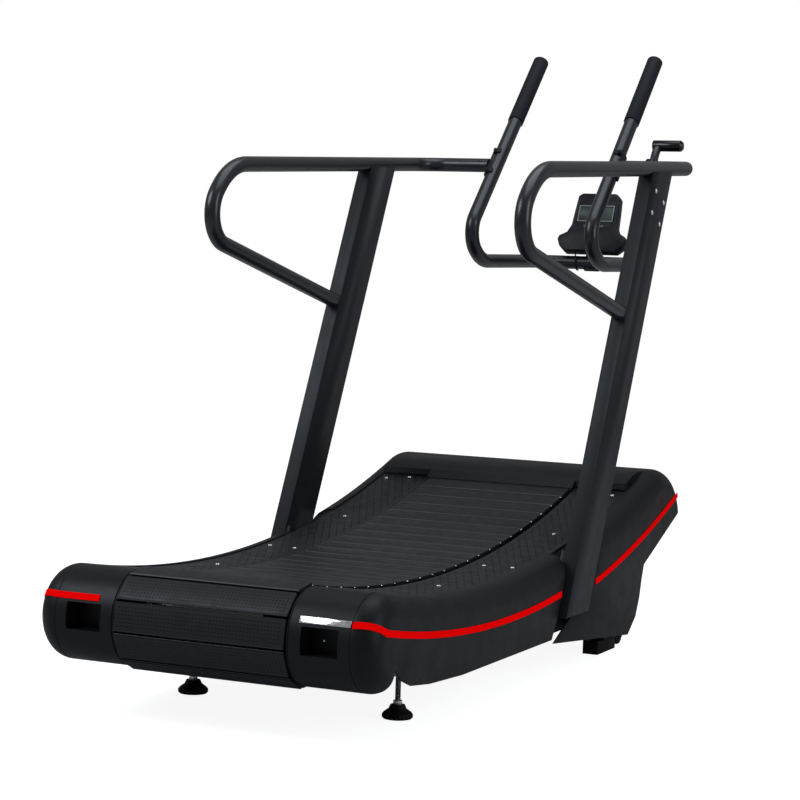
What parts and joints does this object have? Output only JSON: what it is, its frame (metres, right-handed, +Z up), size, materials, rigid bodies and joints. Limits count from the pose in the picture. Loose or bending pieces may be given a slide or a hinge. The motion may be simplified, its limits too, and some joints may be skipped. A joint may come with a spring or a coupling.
{
  "type": "curved manual treadmill",
  "caption": "Motorless running machine with a concave slat belt, black moulded covers with red stripes, leaning uprights, looped handrails, forward horns and a small display.",
  "frame": {"origin": "on the floor, on the mid-plane, halfway along the overall length", "axes": "+Y along the machine towards the raised nose that the runner faces, +X to the runner's right, +Z up"},
  "size_m": [0.8352, 2.3014, 1.5629],
  "materials": {
    "frame_paint": "satin black powder coat",
    "tube_paint": "fine satin black powder coat",
    "grip_foam": "matte black sleeve",
    "bolt_steel": "zinc plated",
    "cover_plastic": "fine grain moulded black",
    "cap_plastic": "semi gloss moulded black",
    "red_trim": "red strip",
    "bright_trim": "bright strip",
    "rail_plastic": "anti-slip tread texture",
    "slat_rubber": "ribbed and dotted rubber",
    "carrier_rubber": "smooth black",
    "glide_plastic": "low friction plastic",
    "drum_steel": "turned steel",
    "disc_brass": "machined disc",
    "block_iron": "cast housing",
    "zinc": "zinc plated plate",
    "lever_paint": "satin black",
    "lever_plastic": "semi gloss black",
    "foot_rubber": "matte black",
    "console_plastic": "fine grain black",
    "bezel": "grey frame",
    "lcd": "grey green display",
    "button_rubber": "dark grey keys",
    "lead_rubber": "black sheath"
  },
  "bodies": {
    "frame": {"base_frame": "frame_paint", "upright_mount_left": "frame_paint", "upright_mount_right": "frame_paint", "upright_left": "tube_paint", "upright_right": "tube_paint", "handrail_left": "tube_paint", "handrail_right": "tube_paint", "horn_bar": "tube_paint", "horn_grip_left": "grip_foam", "horn_grip_right": "grip_foam", "horn_clamp_left": "frame_paint", "horn_clamp_right": "frame_paint", "upright_bolts": "bolt_steel", "side_cover_left": "cover_plastic", "side_cover_right": "cover_plastic", "front_cover_left": "cover_plastic", "front_cover_right": "cover_plastic", "nose_cover": "cover_plastic", "belly_pan": "cover_plastic", "rear_cap_left": "cap_plastic", "rear_cap_right": "cap_plastic", "cap_trim_left": "red_trim", "cap_trim_right": "bright_trim", "stripe_left": "red_trim", "stripe_right": "red_trim", "step_rail_left": "rail_plastic", "step_rail_right": "rail_plastic", "rail_screws": "bolt_steel", "slats": "slat_rubber", "carrier_belts": "carrier_rubber", "glide_tracks": "glide_plastic", "bearing_blocks": "block_iron", "brake_bracket": "frame_paint", "lever_bracket": "frame_paint", "foot_blocks": "foot_rubber", "wheel_forks": "frame_paint", "console_bracket": "frame_paint", "console_body": "console_plastic", "console_bezel": "bezel", "console_screen": "lcd", "sensor_lead": "lead_rubber"},
    "front_drum": {"drum_front": "drum_steel", "flywheel": "disc_brass"},
    "rear_drum": {"drum_rear": "drum_steel"},
    "brake": {"brake_arm": "zinc", "brake_magnets": "zinc"},
    "lever": {"lever_arm": "lever_paint", "lever_grip": "lever_plastic"},
    "left_foot": {"foot_left": "bolt_steel", "foot_pad_left": "foot_rubber"},
    "right_foot": {"foot_right": "bolt_steel", "foot_pad_right": "foot_rubber"},
    "left_wheel": {"wheel_left": "foot_rubber"},
    "right_wheel": {"wheel_right": "foot_rubber"},
    "key_1": {"button_1": "button_rubber"},
    "key_2": {"button_2": "button_rubber"},
    "key_3": {"button_3": "button_rubber"}
  },
  "joints": [
    {"name": "front_drum_spin", "type": "hinge", "parent": "frame", "child": "front_drum", "pos_m": [0, 0.5, 0.31547], "axis": [1, 0, 0], "continuous": true},
    {"name": "rear_drum_spin", "type": "hinge", "parent": "frame", "child": "rear_drum", "pos_m": [0, -1.044, 0.22149], "axis": [1, 0, 0], "continuous": true},
    {"name": "brake_swing", "type": "hinge", "parent": "frame", "child": "brake", "pos_m": [0.279, 0.44, 0.20747], "axis": [1, 0, 0], "range_deg": [-12, 2]},
    {"name": "resistance_lever", "type": "hinge", "parent": "frame", "child": "lever", "pos_m": [0.3, 0.74937, 1.14151], "axis": [1, 0, 0], "range_deg": [-4, 24]},
    {"name": "left_foot_turn", "type": "hinge", "parent": "frame", "child": "left_foot", "pos_m": [-0.255, -0.714, 0], "axis": [0, 0, 1], "continuous": true},
    {"name": "right_foot_turn", "type": "hinge", "parent": "frame", "child": "right_foot", "pos_m": [0.255, -0.714, 0], "axis": [0, 0, 1], "continuous": true},
    {"name": "left_wheel_spin", "type": "hinge", "parent": "frame", "child": "left_wheel", "pos_m": [-0.331, 0.452, 0.026], "axis": [1, 0, 0], "continuous": true},
    {"name": "right_wheel_spin", "type": "hinge", "parent": "frame", "child": "right_wheel", "pos_m": [0.331, 0.452, 0.026], "axis": [1, 0, 0], "continuous": true},
    {"name": "key_1_press", "type": "slide", "parent": "frame", "child": "key_1", "axis": [0, 0.9135, -0.4067], "range_m": [0, 0.0015], "stiffness_N_per_m": 150},
    {"name": "key_2_press", "type": "slide", "parent": "frame", "child": "key_2", "axis": [0, 0.9135, -0.4067], "range_m": [0, 0.0015], "stiffness_N_per_m": 150},
    {"name": "key_3_press", "type": "slide", "parent": "frame", "child": "key_3", "axis": [0, 0.9135, -0.4067], "range_m": [0, 0.0015], "stiffness_N_per_m": 150}
  ]
}
